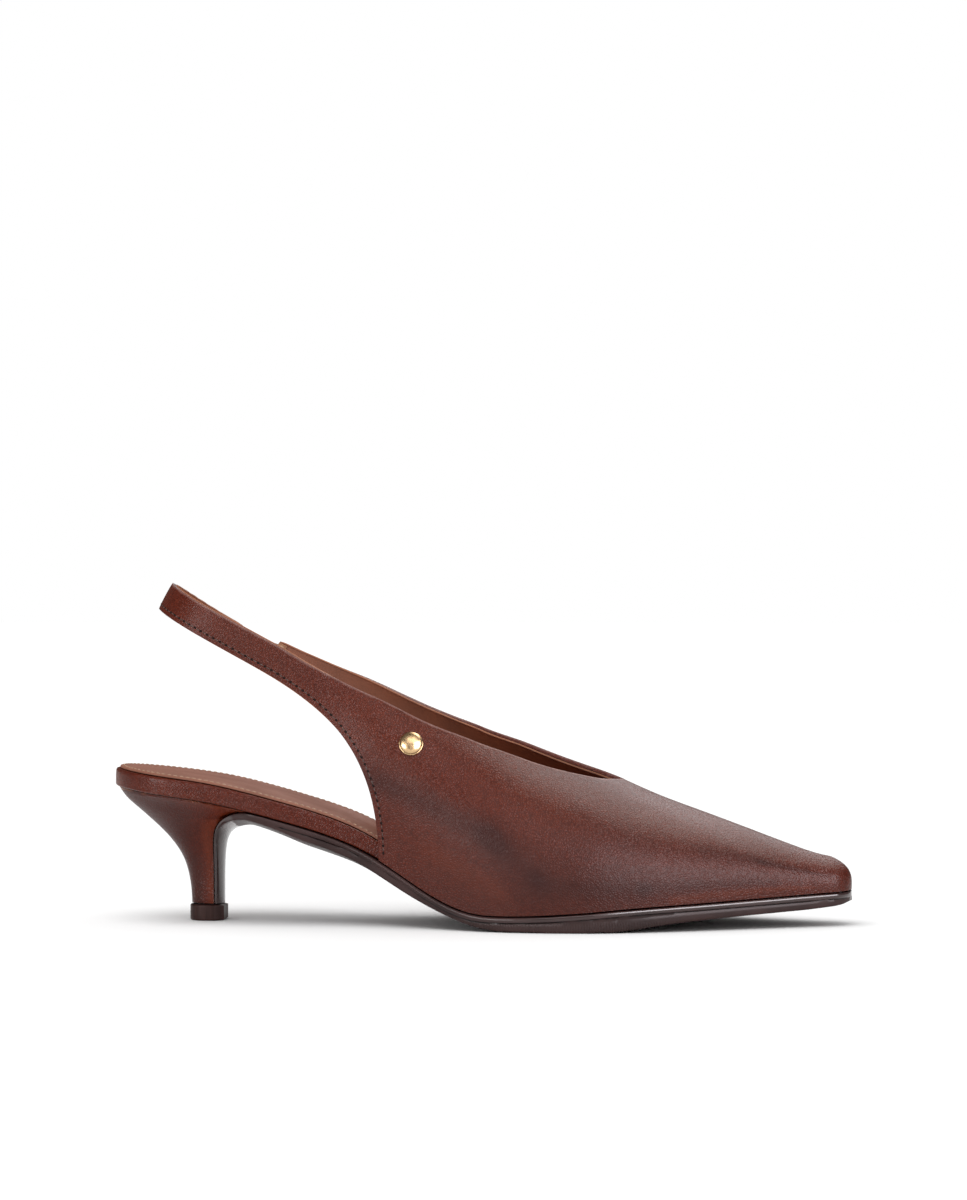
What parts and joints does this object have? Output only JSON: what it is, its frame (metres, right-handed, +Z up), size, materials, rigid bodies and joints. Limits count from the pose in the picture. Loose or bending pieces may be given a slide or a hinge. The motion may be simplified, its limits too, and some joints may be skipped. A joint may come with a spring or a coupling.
{
  "type": "slingback kitten heel pump",
  "caption": "Pointed slingback pump in brown leather with a kitten heel, deep V throat, heel strap with elastic and thin dark sole.",
  "frame": {"origin": "middle of the bounding box in plan, at the floor that the sole and top lift stand on", "axes": "+X from heel to toe, +Y to the inner (medial) side of the foot, +Z up"},
  "size_m": [0.2624, 0.0818, 0.1205],
  "materials": {
    "upper_leather": "smooth burnished brown, fine grain, semi gloss",
    "elastic_webbing": "matt ribbed webbing",
    "insole_wrap": "smooth, semi gloss",
    "sock_lining": "matt tan",
    "sole_rubber": "dark brown, glossy bead over a matt wall",
    "heel_wrap": "smooth, semi gloss",
    "lift_rubber": "matt dark brown",
    "stud_metal": "polished pale gilt"
  },
  "bodies": {
    "root": {"upper": "upper_leather", "elastic": "elastic_webbing", "insole": "insole_wrap", "sock": "sock_lining", "outsole": "sole_rubber", "heel": "heel_wrap", "top_lift": "lift_rubber", "stud": "stud_metal"}
  },
  "joints": []
}
